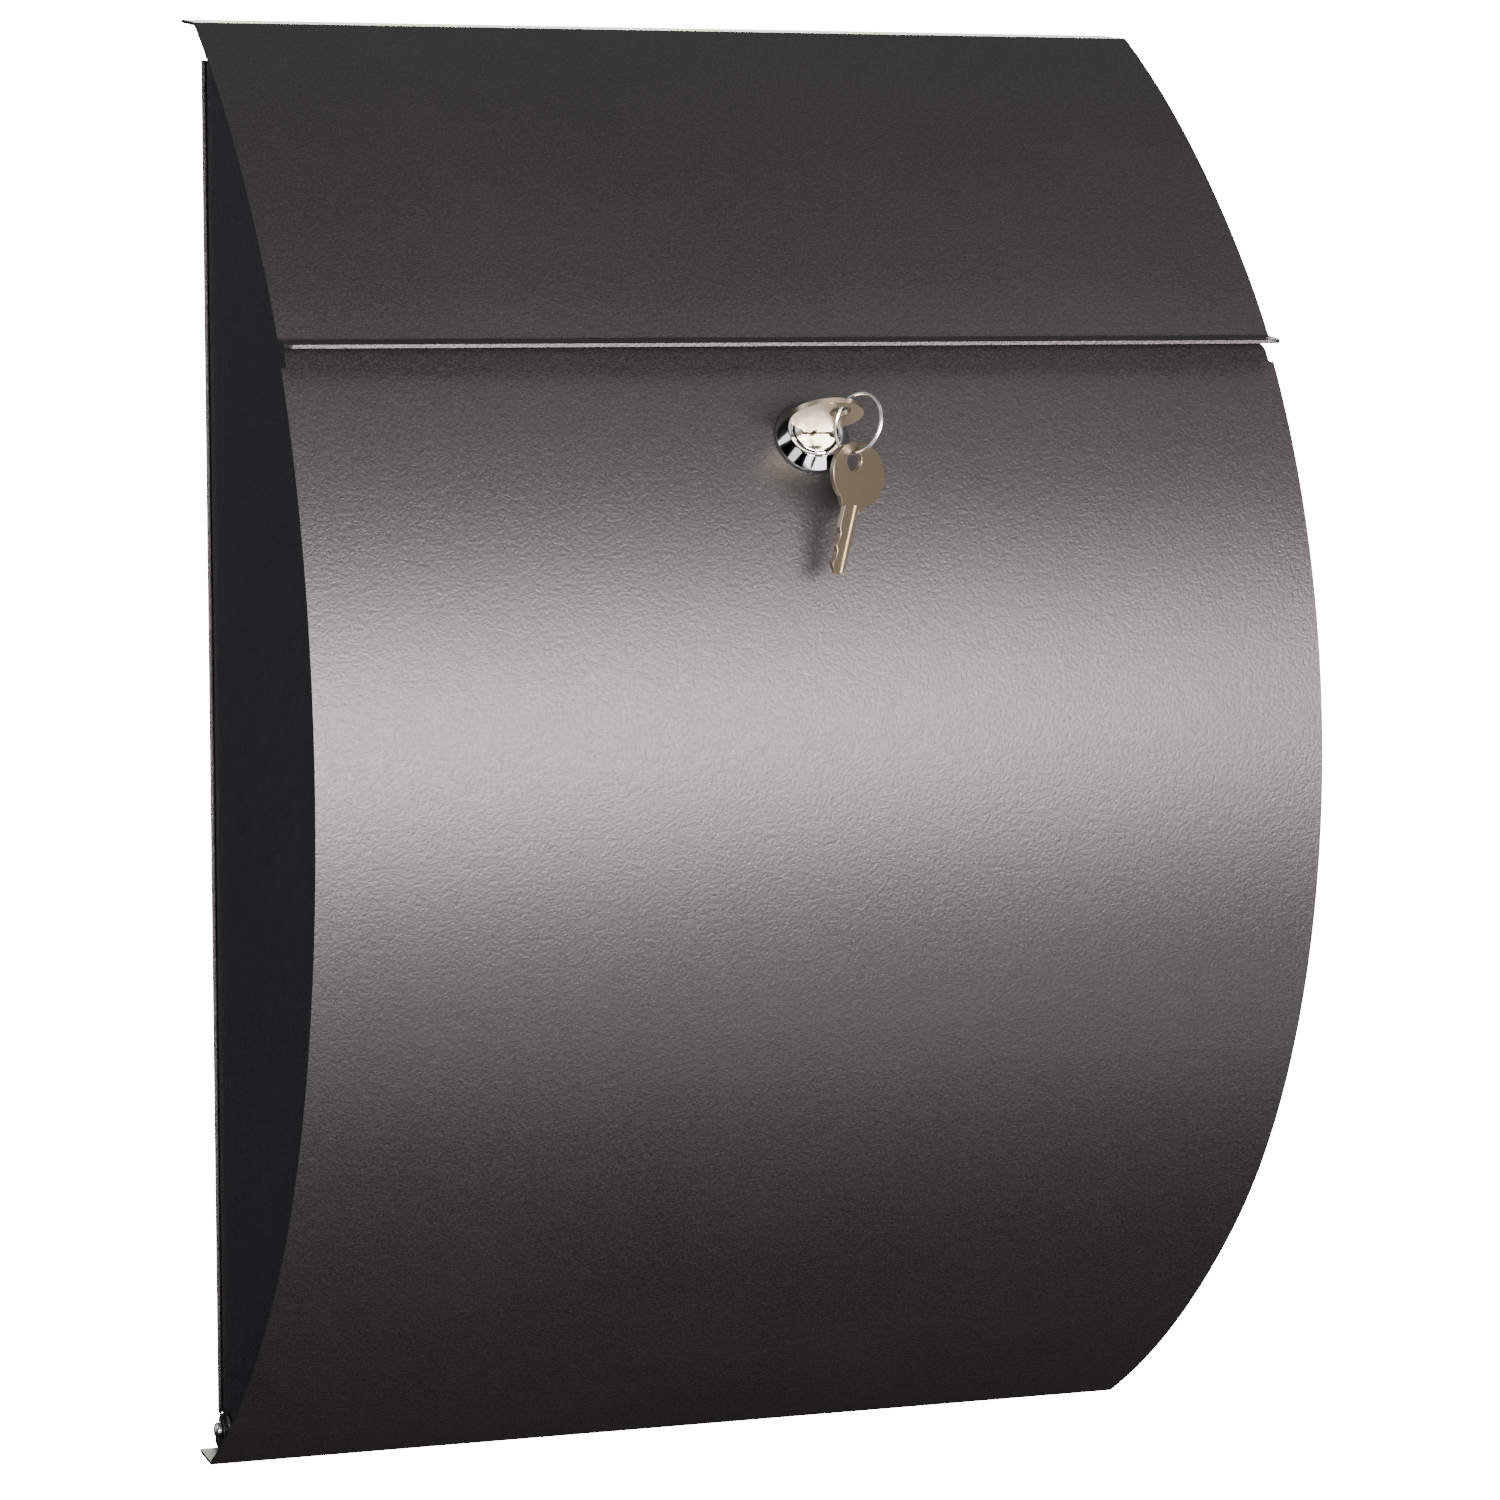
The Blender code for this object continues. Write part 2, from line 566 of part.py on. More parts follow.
def main():
    clear_scene()
    paint = principled("anthracite_powder_coat", (0.045, 0.045, 0.048), 0.42, 0.35)
    zinc = principled("zinc_plated_steel", (0.62, 0.62, 0.60), 0.30, 1.0)
    chrome = principled("chrome", (0.82, 0.82, 0.80), 0.08, 1.0)
    nickel = principled("nickel_silver", (0.60, 0.56, 0.48), 0.24, 1.0)
    back_panel(paint)
    side_panel("side_panel_left", -1.0, paint)
    side_panel("side_panel_right", 1.0, paint)
    floor_panel(paint)
    front_rail(paint)
    lid(paint)
    door(paint)
    hinge_hardware(zinc)
    lock(chrome, zinc)
    keys(nickel, zinc)


main()
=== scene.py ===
"""Wall mounted mailbox in black powder coat, with a chrome cam lock, a key in it and a spare key
on a split ring.

Lengths are in millimetres, in the frame of the CAD part, and are scaled to metres as each mesh is
made: X along the mailbox's width, Y into the wall, whose face is Y = 0, and Z up from the middle
of the back panel. The camera's and the lights' places are in metres.
"""

import math

import bmesh
import bpy
from mathutils import Matrix, Vector


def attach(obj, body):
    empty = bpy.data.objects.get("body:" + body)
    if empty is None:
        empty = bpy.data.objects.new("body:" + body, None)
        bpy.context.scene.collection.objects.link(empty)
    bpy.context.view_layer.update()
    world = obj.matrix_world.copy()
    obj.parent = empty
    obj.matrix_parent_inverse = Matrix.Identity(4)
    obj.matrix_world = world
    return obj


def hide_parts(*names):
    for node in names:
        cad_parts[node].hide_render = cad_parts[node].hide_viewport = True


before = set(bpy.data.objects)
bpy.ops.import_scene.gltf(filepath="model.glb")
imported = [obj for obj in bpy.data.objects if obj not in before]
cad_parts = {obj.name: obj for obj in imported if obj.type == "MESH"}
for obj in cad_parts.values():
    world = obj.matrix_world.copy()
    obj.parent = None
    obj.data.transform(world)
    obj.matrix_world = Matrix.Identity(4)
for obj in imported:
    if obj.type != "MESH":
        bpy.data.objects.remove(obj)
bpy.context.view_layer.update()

MM = 0.001
X_AXIS, Z_AXIS = Vector((1, 0, 0)), Vector((0, 0, 1))

# Camera and studio
CAMERA_AT = (-0.4199, -1.3740, 0.1459)
CAMERA_TURN = (math.pi / 2 - 0.105, 0.0, -0.3184)
CAMERA_LENS, SENSOR_WIDTH = 108.73, 36.0
CLIP_START, CLIP_END = 0.05, 50.0
BACKDROP_STRENGTH, FLOOR_GLOW = 20.0, 16.0  # bright enough for both to come out plain white
FLOOR_R, FLOOR_THICK, FLOOR_TOP = 2600.0, 20.0, -1100.0
MAP_RANGE = ("From Min", "From Max", "To Min", "To Max")
SKY = (-0.05, 0.6, 0.0, 0.29)  # the sky's strength rises between two heights of its direction
FRONT, TOP = (0.0, -0.15, 0.0), (0.0, 0.0, 0.22)
LIGHTS = (  # name, place, target, width and height, power, colour, roll in degrees
    ("key", (0.10, -1.75, 0.12), FRONT, (1.6, 0.65), 186.0, (1.0, 0.905, 0.88), 12.0),
    ("above", (0.25, -0.75, 1.3), FRONT, (1.4, 0.5), 2.6, (1.0, 0.95, 0.92), 0.0),
    ("below", (0.15, -0.72, -0.60), FRONT, (1.0, 0.2), 2.2, (0.86, 0.92, 1.0), 0.0),
    ("left", (-2.0, -0.1, 0.9), FRONT, (1.0, 1.4), 8.0, (0.9, 0.95, 1.0), 0.0),
    ("low_left", (-0.85, -1.0, -0.38), FRONT, (0.9, 0.6), 2.5, (1.0, 1.0, 1.0), 0.0),
    ("side", (-1.5, 0.9, 0.20), FRONT, (0.8, 1.7), 5.0, (0.80, 0.91, 1.0), 0.0),
    ("behind", (0.40, 1.6, 0.70), TOP, (1.0, 0.3), 25.0, (1.0, 1.0, 0.85), 0.0),
)

# Sheet metal
WIDTH, HEIGHT, SHEET, GAP = 300.0, 440.0, 1.0, 0.3
BODY_HALF = 143.0
BOW_R, BOW_CENTRE_Y, FLAT_R = 210.9, 32.3, 389.7
TANGENT = math.radians(43.07)
FLAT_CENTRE_Y = BOW_CENTRE_Y + (FLAT_R - BOW_R) * math.cos(TANGENT)
FLAT_CENTRE_Z = (FLAT_R - BOW_R) * math.sin(TANGENT)
LID_PROUD = 1.4
DOOR_TOP_Z, LID_ROOT_Z = 125.6, 127.4
DRIP_TIP, LID_REAR_TIP, DOOR_REAR_Y = (-148.0, 126.1), (-7.0, 221.9), -7.0
DOOR_NOTCH_WIDTH, DOOR_NOTCH_DEPTH = 1.5, 6.0
LID_PIVOT, DOOR_PIVOT = (-13.0, 212.0), (-13.0, -212.0)
SCREW_R, HEAD_R, HEAD_H, NUT_H = 1.5, 2.6, 2.2, 2.4
HOLE_R = SCREW_R + GAP
PANEL_LOW, PANEL_HIGH = DOOR_PIVOT[1] + 2.5, LID_PIVOT[1] - 2.0
FLANGE, CORNER_R, LID_EAR_R, DOOR_EAR_R = 2.5, 5.5, 4.6, 5.2
MOUNT_HOLE_X, MOUNT_HOLE_Z, MOUNT_HOLE_R = 95.0, 150.0, 3.0
FLOOR_RISE, FLOOR_FRONT_Y, FLOOR_LIP = 4.0, -36.0, 8.0
EASE, LIP_EASE = 0.2, 0.22  # the bevels along the sheets' edges

# Lock and keys
LOCK_X, LOCK_ANGLE = 0.7, math.radians(28.06)
BEZEL_R, BEZEL_H, BARREL_R, BARREL_BACK, PLUG_R = 11.0, 4.6, 8.0, -16.0, 6.4
CAM_PLANE = -18.1
KEY_THICK, KEY_TIP_V, KEY_SHOULDER_V, BLADE_HALF = 1.5, -14.0, 5.2, 2.8
BOW_CENTRE_V, BOW_HALF_U, BOW_HALF_V = 15.0, 10.6, 9.0
KEY_HOLE_U, KEY_HOLE_V, KEY_HOLE_R = 3.0, 18.0, 3.0
KEY_CUT_PITCH, KEY_CUT_WIDTH, KEY_CUT_DEPTHS = 2.6, 0.9, (0.0, 0.9, 0.3, 1.1, 0.5)
RING_R, RING_WIRE_R, RING_OUT, RING_DROP = 8.6, 0.5, 7.73, 3.77
SPARE_TILT, RING_LEAN = math.radians(18.0), math.radians(14.0)
RING_DIRECTION = Vector((0.46, -0.888, 0.0)).normalized()


# ---------------------------------------------------------------- the bow

def skin_point(angle, inside=0.0):
    """(y, z) where the bow's normal is tilted up by angle, a distance inside the door's skin."""
    side = math.copysign(1.0, angle)
    if abs(angle) <= TANGENT:
        radius, centre_y, centre_z = BOW_R - inside, BOW_CENTRE_Y, 0.0
    else:
        radius, centre_y, centre_z = FLAT_R - inside, FLAT_CENTRE_Y, -side * FLAT_CENTRE_Z
    return (centre_y - radius * math.cos(angle), centre_z + radius * math.sin(angle))


def skin_angle(z, inside):
    """The tilt of the bow's normal at a height."""
    side = math.copysign(1.0, z)
    if abs(z) <= (BOW_R - inside) * math.sin(TANGENT):
        return math.asin(z / (BOW_R - inside))
    return side * math.asin((abs(z) + FLAT_CENTRE_Z) / (FLAT_R - inside))


def skin_curve(z_low, z_high, inside, steps):
    """Points up the bow from one height to another."""
    low, high = skin_angle(z_low, inside), skin_angle(z_high, inside)
    return [skin_point(low + (high - low) * i / steps, inside) for i in range(steps + 1)]


# ---------------------------------------------------------------- mesh helpers

def mesh_from(vertices, faces):
    """A mesh in metres, with its faces turned outwards."""
    mesh = bpy.data.meshes.new("mesh")
    mesh.from_pydata([tuple(Vector(v) * MM) for v in vertices], [], faces)
    edit = bmesh.new()
    edit.from_mesh(mesh)
    bmesh.ops.recalc_face_normals(edit, faces=edit.faces)
    edit.to_mesh(mesh)
    edit.free()
    return mesh


def prism(outline, low, high, place, steps=1):
    """A closed prism over an outline; place(a, b, h) gives each point in space."""
    count = len(outline)
    vertices = [place(a, b, low + (high - low) * s / steps)
                for s in range(steps + 1) for a, b in outline]
    faces = []
    for s in range(steps):
        base = s * count
        for i in range(count):
            j = (i + 1) % count
            faces.append((base + i, base + j, base + count + j, base + count + i))
    faces += [tuple(reversed(range(count))), tuple(range(steps * count, (steps + 1) * count))]
    return mesh_from(vertices, faces)


def across(y, z, x):
    """Places a prism along X, over a (y, z) outline."""
    return (x, y, z)


def inward(x, z, y):
    """Places a prism along Y, over an (x, z) outline."""
    return (x, y, z)


def upward(x, y, z):
    """Places a prism along Z, over an (x, y) outline."""
    return (x, y, z)


def circle(radius, count, centre=(0.0, 0.0)):
    return [(centre[0] + radius * math.cos(math.tau * i / count),
             centre[1] + radius * math.sin(math.tau * i / count)) for i in range(count)]


def arc(centre, radius, start, end, steps):
    """Points round an arc; the angles are in degrees."""
    points = []
    for i in range(steps + 1):
        angle = math.radians(start + (end - start) * i / steps)
        points.append((centre[0] + radius * math.cos(angle),
                       centre[1] + radius * math.sin(angle)))
    return points


def lathe(profile, segments, place, closed=False):
    """A solid of revolution over (radius, height) points, or a ring if the profile is closed."""
    vertices, rings = [], []
    for radius, height in profile:
        if radius == 0.0:
            rings.append([len(vertices)] * segments)
            vertices.append(place(0.0, 0.0, height))
            continue
        rings.append(list(range(len(vertices), len(vertices) + segments)))
        vertices += [place(a, b, height) for a, b in circle(radius, segments)]
    pairs = list(zip(rings, rings[1:])) + ([(rings[-1], rings[0])] if closed else [])
    faces = []
    for low, high in pairs:
        for i in range(segments):
            j = (i + 1) % segments
            face = list(dict.fromkeys((low[i], low[j], high[j], high[i])))
            if len(face) > 2:
                faces.append(face)
    return mesh_from(vertices, faces)


def fillet(points, corners):
    """Rounds the named corners of an open path; corners maps a point's index to its bend radius."""
    result = []
    for i, point in enumerate(points):
        if i not in corners:
            result.append(Vector(point))
            continue
        here, radius = Vector(point), corners[i]
        into = (here - Vector(points[i - 1])).normalized()
        away = (Vector(points[i + 1]) - here).normalized()
        turn = into.angle_signed(away)
        reach = radius * abs(math.tan(turn / 2))
        while result and (result[-1] - here).length < reach * 1.05:
            result.pop()
        start = here - into * reach
        side = 1.0 if turn < 0 else -1.0
        centre = start + Vector((-into.y, into.x)) * radius * side
        steps = max(4, int(abs(turn) / math.radians(9)))
        spoke = start - centre
        for k in range(steps + 1):
            angle = abs(turn) * side * k / steps
            cos, sin = math.cos(angle), math.sin(angle)
            turned = (spoke.x * cos - spoke.y * sin, spoke.x * sin + spoke.y * cos)
            result.append(centre + Vector(turned))
    return result


def drop_near(points, corners):
    """Takes out the curve's points that a following bend would run over."""
    kept, index_map = [], {}
    for i, point in enumerate(points):
        here = Vector(point)
        crowded = any(i != c and (here - Vector(points[c])).length < radius * 0.9
                      for c, radius in corners.items())
        if not crowded:
            index_map[i] = len(kept)
            kept.append(point)
    return kept, {index_map[c]: r for c, r in corners.items()}


def bent_sheet(path, corners):
    """The closed outline of a bent sheet, from its middle line."""
    path, corners = drop_near(path, corners)
    middle = fillet(path, corners)
    left, right = [], []
    for i, point in enumerate(middle):
        along = (middle[min(i + 1, len(middle) - 1)] - middle[max(i - 1, 0)]).normalized()
        normal = Vector((-along.y, along.x)) * SHEET / 2
        left.append(tuple(point + normal))
        right.append(tuple(point - normal))
    return left + right[::-1]


def make(name, mesh, material, body, replaced,
         bevel=0.0, segments=2, sharp=30.0, cuts=(), joins=()):
    """A finished piece: joined and cut with helper meshes, then eased and smoothed.

    replaced names its CAD nodes, bevel is in millimetres and sharp in degrees.
    """
    piece = bpy.data.objects.new(name, mesh)
    bpy.context.scene.collection.objects.link(piece)
    helpers = []
    for operation, others in (("UNION", joins), ("DIFFERENCE", cuts)):
        for other in others:
            helper = bpy.data.objects.new("helper", other)
            bpy.context.scene.collection.objects.link(helper)
            modifier = piece.modifiers.new("Shape", "BOOLEAN")
            modifier.operation, modifier.solver, modifier.object = operation, "EXACT", helper
            helpers.append(helper)
    if bevel:
        modifier = piece.modifiers.new("Eased edges", "BEVEL")
        modifier.width, modifier.segments = bevel * MM, segments
        modifier.limit_method, modifier.angle_limit = "ANGLE", math.radians(sharp)
    graph = bpy.context.evaluated_depsgraph_get()
    result = bpy.data.meshes.new_from_object(piece.evaluated_get(graph))
    piece.modifiers.clear()
    piece.data = result
    for helper in helpers:
        bpy.data.objects.remove(helper, do_unlink=True)
    result.materials.clear()
    result.materials.append(material)
    result.shade_smooth()
    result.set_sharp_from_angle(angle=math.radians(sharp))
    if bevel:
        weighted = piece.modifiers.new("Face normals", "WEIGHTED_NORMAL")
        weighted.keep_sharp = True
    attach(piece, body)
    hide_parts(*replaced)


def eased_copy(node, material, body, bevel):
    """A CAD solid of the right shape, with its edges eased."""
    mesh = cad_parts[node].data.copy()
    edit = bmesh.new()
    edit.from_mesh(mesh)
    bmesh.ops.remove_doubles(edit, verts=edit.verts, dist=1e-6)
    bmesh.ops.dissolve_limit(edit, angle_limit=math.radians(1.0), verts=edit.verts,
                             edges=edit.edges)
    bmesh.ops.recalc_face_normals(edit, faces=edit.faces)
    edit.to_mesh(mesh)
    edit.free()
    for name in ("custom_normal", "sharp_face", "sharp_edge"):
        if name in mesh.attributes:
            mesh.attributes.remove(mesh.attributes[name])
    make(f"{node}_piece", mesh, material, body, (node,), bevel=bevel)


# ---------------------------------------------------------------- materials

class Shading:
    """A Principled material and short ways to add nodes to it."""

    def __init__(self, name, color, roughness, metallic=0.0):
        self.material = bpy.data.materials.new(name)
        self.material.use_nodes = True
        self.tree = self.material.node_tree
        self.shader = self.tree.nodes["Principled BSDF"]
        self.shader.inputs["Base Color"].default_value = (*color, 1.0)
        self.shader.inputs["Roughness"].default_value = roughness
        self.shader.inputs["Metallic"].default_value = metallic
        self.coordinates = self.tree.nodes.new("ShaderNodeTexCoord").outputs["Object"]

    def link(self, source, target):
        self.tree.links.new(source, target)

    def stretched(self, scale):
        node = self.tree.nodes.new("ShaderNodeMapping")
        node.inputs["Scale"].default_value = scale
        self.link(self.coordinates, node.inputs["Vector"])
        return node.outputs["Vector"]

    def noise(self, scale, detail=2.0, roughness=0.5, vector=None):
        node = self.tree.nodes.new("ShaderNodeTexNoise")
        node.inputs["Scale"].default_value = scale
        node.inputs["Detail"].default_value = detail
        node.inputs["Roughness"].default_value = roughness
        self.link(vector or self.coordinates, node.inputs["Vector"])
        return node.outputs["Fac"]

    def spread(self, value, low, high, to_low, to_high):
        node = self.tree.nodes.new("ShaderNodeMapRange")
        for socket, number in zip(MAP_RANGE, (low, high, to_low, to_high)):
            node.inputs[socket].default_value = number
        self.link(value, node.inputs["Value"])
        return node.outputs["Result"]

    def math(self, operation, first, second):
        node = self.tree.nodes.new("ShaderNodeMath")
        node.operation = operation
        for socket, value in zip(node.inputs, (first, second)):
            if isinstance(value, (int, float)):
                socket.default_value = value
            else:
                self.link(value, socket)
        return node.outputs["Value"]

    def mean(self, first, second):
        return self.math("ADD", self.math("MULTIPLY", first, 0.5),
                         self.math("MULTIPLY", second, 0.5))

    def blend(self, factor, first, second):
        node = self.tree.nodes.new("ShaderNodeMix")
        node.data_type = "RGBA"
        self.link(factor, node.inputs["Factor"])
        for socket, value in ((node.inputs[6], first), (node.inputs[7], second)):
            if isinstance(value, tuple):
                socket.default_value = (*value, 1.0)
            else:
                self.link(value, socket)
        return node.outputs[2]

    def bump(self, height, distance, strength=1.0):
        node = self.tree.nodes.new("ShaderNodeBump")
        node.inputs["Strength"].default_value = strength
        node.inputs["Distance"].default_value = distance
        self.link(height, node.inputs["Height"])
        self.link(node.outputs["Normal"], self.shader.inputs["Normal"])


def powder_coat():
    """Anthracite powder coat: a fine grain over a soft orange peel."""
    paint = Shading("anthracite_powder_coat", (0.03, 0.03, 0.03), 0.5)
    grain = paint.noise(1500.0, 2.0, 0.6)
    peel = paint.noise(850.0, 1.0, 0.4)
    cloud = paint.noise(16.0, 3.0, 0.55)
    dark, mid, pale = (0.0040, 0.0038, 0.0038), (0.0056, 0.0053, 0.0053), (0.010, 0.010, 0.010)
    base = paint.blend(paint.spread(cloud, 0.3, 0.7, 0.0, 1.0), dark, mid)
    base = paint.blend(paint.spread(grain, 0.45, 0.75, 0.0, 1.0), base, pale)
    paint.link(base, paint.shader.inputs["Base Color"])
    both = paint.mean(grain, peel)
    paint.link(paint.spread(both, 0.35, 0.65, 0.41, 0.50), paint.shader.inputs["Roughness"])
    paint.bump(both, 0.00020)
    return paint.material


def plated(name, color, roughness, marks, tint, stretch=(1.0, 1.0, 1.0)):
    """Bare or plated metal with fine handling marks, which vary its roughness and tint it."""
    metal = Shading(name, color, roughness, 1.0)
    fine = metal.noise(1400.0, 3.0, 0.6, metal.stretched(stretch))
    broad = metal.noise(120.0, 3.0, 0.6)
    both = metal.mean(fine, broad)
    metal.link(metal.spread(both, 0.35, 0.65, roughness - marks, roughness + marks),
               metal.shader.inputs["Roughness"])
    metal.link(metal.blend(metal.spread(broad, 0.35, 0.7, 0.0, 1.0), color, tint),
               metal.shader.inputs["Base Color"])
    metal.bump(both, 0.000001, 0.5)
    return metal.material


PAINT = powder_coat()
CHROME = plated("chrome_plate", (0.80, 0.80, 0.80), 0.08, 0.01, (0.74, 0.74, 0.75))
ZINC = plated("zinc_plate", (0.62, 0.62, 0.60), 0.28, 0.02, (0.50, 0.50, 0.49))
NICKEL = plated("nickel_silver", (0.50, 0.42, 0.30), 0.34, 0.012, (0.44, 0.37, 0.26),
                (0.3, 0.3, 2.0))


# ---------------------------------------------------------------- body

def half_disc(pivot, toward, radius):
    """A half circle round a pivot, over it or under it."""
    return arc(pivot, radius, 180.0, 0.0 if toward > 0 else 360.0, 12)


def screw_hole(pivot, low, high):
    """A cutter through a sheet that lies between two places along X."""
    return prism(circle(HOLE_R, 24, pivot), low - 2.0, high + 2.0, across)


def back_sheet():
    """The back panel: a shallow channel, with four holes to screw it to the wall."""
    edge, mid = BODY_HALF - SHEET / 2, -SHEET / 2
    path = [(-edge, -FLANGE), (-edge, mid), (edge, mid), (edge, -FLANGE)]
    outline = bent_sheet(path, {1: 1.0, 2: 1.0})
    cuts = [prism(circle(MOUNT_HOLE_R, 32, (x, z)), -4.0, 3.0, inward)
            for z in (MOUNT_HOLE_Z, -MOUNT_HOLE_Z) for x in (-MOUNT_HOLE_X, MOUNT_HOLE_X)]
    make("back_sheet", prism(outline, PANEL_LOW, PANEL_HIGH, upward), PAINT, "body",
         ("back_panel",), bevel=EASE, cuts=cuts)


def side_sheet(side, label):
    """A flat end plate, whose front edge follows the bow just inside the door."""
    edge, back = 1.5, -SHEET - GAP
    outline = skin_curve(DOOR_PIVOT[1] - CORNER_R, LID_PIVOT[1] + CORNER_R, edge, 120)
    outline += arc(LID_PIVOT, CORNER_R, 90.0, 0.0, 8)
    outline += [(LID_PIVOT[0] + CORNER_R, PANEL_HIGH), (back, PANEL_HIGH)]
    outline += [(back, PANEL_LOW), (DOOR_PIVOT[0] + CORNER_R, PANEL_LOW)]
    outline += arc(DOOR_PIVOT, CORNER_R, 0.0, -90.0, 8)
    outer = side * (BODY_HALF - SHEET - GAP)
    low, high = sorted((outer, outer - side * SHEET))
    make(f"side_sheet_{label}", prism(outline, low, high, across), PAINT, "body",
         (f"side_panel_{label}",), bevel=EASE,
         cuts=[screw_hole(pivot, low, high) for pivot in (LID_PIVOT, DOOR_PIVOT)])


def floor_sheet():
    """The floor panel, with its front edge turned up."""
    half = BODY_HALF - 2.0 * (SHEET + GAP) - GAP
    low, front = DOOR_PIVOT[1] + FLOOR_RISE + SHEET / 2, FLOOR_FRONT_Y + SHEET / 2
    path = [(-SHEET - GAP, low), (front, low), (front, low + FLOOR_LIP - SHEET / 2)]
    make("floor_sheet", prism(bent_sheet(path, {1: 1.2}), -half, half, across), PAINT, "body",
         ("floor_panel",), bevel=EASE)


# ---------------------------------------------------------------- lid and door

def lid_sheet():
    """The lid, with its drip lip, its rear lip and an ear at each end for the hinge screws."""
    outer = -LID_PROUD + SHEET / 2
    curve = skin_curve(LID_ROOT_Z - SHEET / 2, HEIGHT / 2 - SHEET / 2, outer, 90)[::-1]
    path = [(LID_REAR_TIP[0], LID_REAR_TIP[1] - SHEET / 2)] + curve
    path.append((DRIP_TIP[0] + 0.05, DRIP_TIP[1] - SHEET / 2))
    outline = bent_sheet(path, {1: 1.4, len(path) - 2: 1.1})
    ear_out = BODY_HALF - 2.0 * (SHEET + GAP)
    joins, cuts = [], []
    for side in (-1.0, 1.0):
        ear = half_disc(LID_PIVOT, -1.0, LID_EAR_R)
        ear += [(LID_PIVOT[0] + LID_EAR_R, 220.6), (LID_PIVOT[0] - 7.0, 220.0)]
        low, high = sorted((side * ear_out, side * (ear_out - SHEET)))
        joins.append(prism(ear, low, high, across))
        cuts.append(screw_hole(LID_PIVOT, low, high))
        tip, radius = DRIP_TIP[0], 3.0
        start, past = WIDTH / 2 - radius, WIDTH / 2 + 1.0
        corner = [(side * past, tip - 1.0), (side * (start - 1.0), tip - 1.0)]
        corner += [(side * (start + radius * math.sin(a)), tip + radius - radius * math.cos(a))
                   for a in (math.radians(d) for d in range(0, 91, 15))]
        corner += [(side * past, tip + radius)]
        below_lip, above_lip = 120.0, 128.0
        cuts.append(prism(corner, below_lip, above_lip, upward))
    make("lid_sheet", prism(outline, -WIDTH / 2, WIDTH / 2, across, 6), PAINT, "lid_body",
         ("lid",), bevel=LIP_EASE, joins=joins, cuts=cuts)


def door_sheet():
    """The door, with its bottom lip, notched top corners, lock hole and an ear at each end."""
    curve = skin_curve(-HEIGHT / 2 + SHEET / 2, DOOR_TOP_Z, SHEET / 2, 180)
    path = [(DOOR_REAR_Y, -HEIGHT / 2 + SHEET / 2)] + curve
    outline = bent_sheet(path, {1: 1.8})
    joins = []
    cuts = [prism(circle(BARREL_R + 0.4, 48), -12.0, 12.0, in_lock_frame)]
    edge = WIDTH / 2 - DOOR_NOTCH_WIDTH
    step, top = DOOR_TOP_Z - DOOR_NOTCH_DEPTH, DOOR_TOP_Z + 9.0
    for side in (-1.0, 1.0):
        notch = [(edge + 9.0, step), (edge + 9.0, top), (edge - 4.0, top)]
        notch.append((edge - 4.0, DOOR_TOP_Z + 0.2))
        notch += arc((edge - 3.0, DOOR_TOP_Z - 3.0), 3.0, 90.0, 0.0, 6)
        notch += arc((edge + 0.6, step + 0.6), 0.6, 180.0, 270.0, 4)
        notch = [(side * x, z) for x, z in notch]
        cuts.append(prism(notch, -175.0, -110.0, inward))
        y, z = DOOR_PIVOT
        base = -HEIGHT / 2 + SHEET / 2
        ear = [(y - 9.0, base), (y - 9.0, z - 2.0)] + half_disc(DOOR_PIVOT, 1.0, DOOR_EAR_R)
        ear += [(y + 10.4, z - 1.0), (y + 10.4, z - 6.4), (y + 6.0, base)]
        low, high = sorted((side * (BODY_HALF + GAP), side * (BODY_HALF + GAP + SHEET)))
        joins.append(prism(ear, low, high, across))
        cuts.append(screw_hole(DOOR_PIVOT, low, high))
    make("door_sheet", prism(outline, -WIDTH / 2, WIDTH / 2, across, 6), PAINT, "door_body",
         ("door",), bevel=LIP_EASE, joins=joins, cuts=cuts)


# ---------------------------------------------------------------- hinge screws

def hinge_screw(name, pivot, side, head_x, tip_x):
    """Pan head with a cross recess, and a threaded shank."""
    def place(a, b, h):
        return (side * h, pivot[0] + a, pivot[1] + b)

    profile = [(0.0, tip_x), (SCREW_R - 0.4, tip_x), (SCREW_R - 0.05, tip_x + 0.4)]
    pitch = 0.5
    for i in range(int((head_x - tip_x - 0.8) / pitch)):
        start = tip_x + 0.4 + pitch * i
        profile += [(SCREW_R, start + 0.1), (SCREW_R - 0.2, start + 0.3)]
    profile += [(SCREW_R, head_x - 0.1), (SCREW_R, head_x)]
    profile += [(HEAD_R - 0.2, head_x), (HEAD_R, head_x + 0.15)]
    profile += [(HEAD_R * math.cos(a), head_x + HEAD_H * (0.35 + 0.65 * math.sin(a)))
                for a in (math.radians(d) for d in range(5, 86, 8))]
    profile.append((0.0, head_x + HEAD_H))
    top = head_x + HEAD_H
    cuts = []
    for long, wide in ((1.5, 0.28), (0.28, 1.5)):
        cross = [(-long, -wide), (long, -wide), (long, wide), (-long, wide)]
        cuts.append(prism(cross, top - 1.1, top + 1.0, place))
    make(name + "_piece", lathe(profile, 40, place), ZINC, "body", (name,), cuts=cuts,
         sharp=35.0)


def hinge_screws():
    """The four hinge screws, and the nuts and washers on them."""
    panel_out, panel_in = BODY_HALF - SHEET - GAP, BODY_HALF - 2 * SHEET - GAP
    for side, label in ((-1.0, "left"), (1.0, "right")):
        nut_x = panel_in - GAP - SHEET - GAP - NUT_H
        hinge_screw(f"lid_hinge_screw_{label}", LID_PIVOT, side, panel_out + GAP, nut_x - 0.5)
        nut_x = panel_in - GAP - NUT_H
        hinge_screw(f"door_hinge_screw_{label}", DOOR_PIVOT, side, BODY_HALF + 2 * GAP + SHEET,
                    nut_x - 0.5)
        for node in ("lid_hinge_nut", "door_hinge_nut", "door_hinge_washer"):
            eased_copy(f"{node}_{label}", ZINC, "body", 0.15)


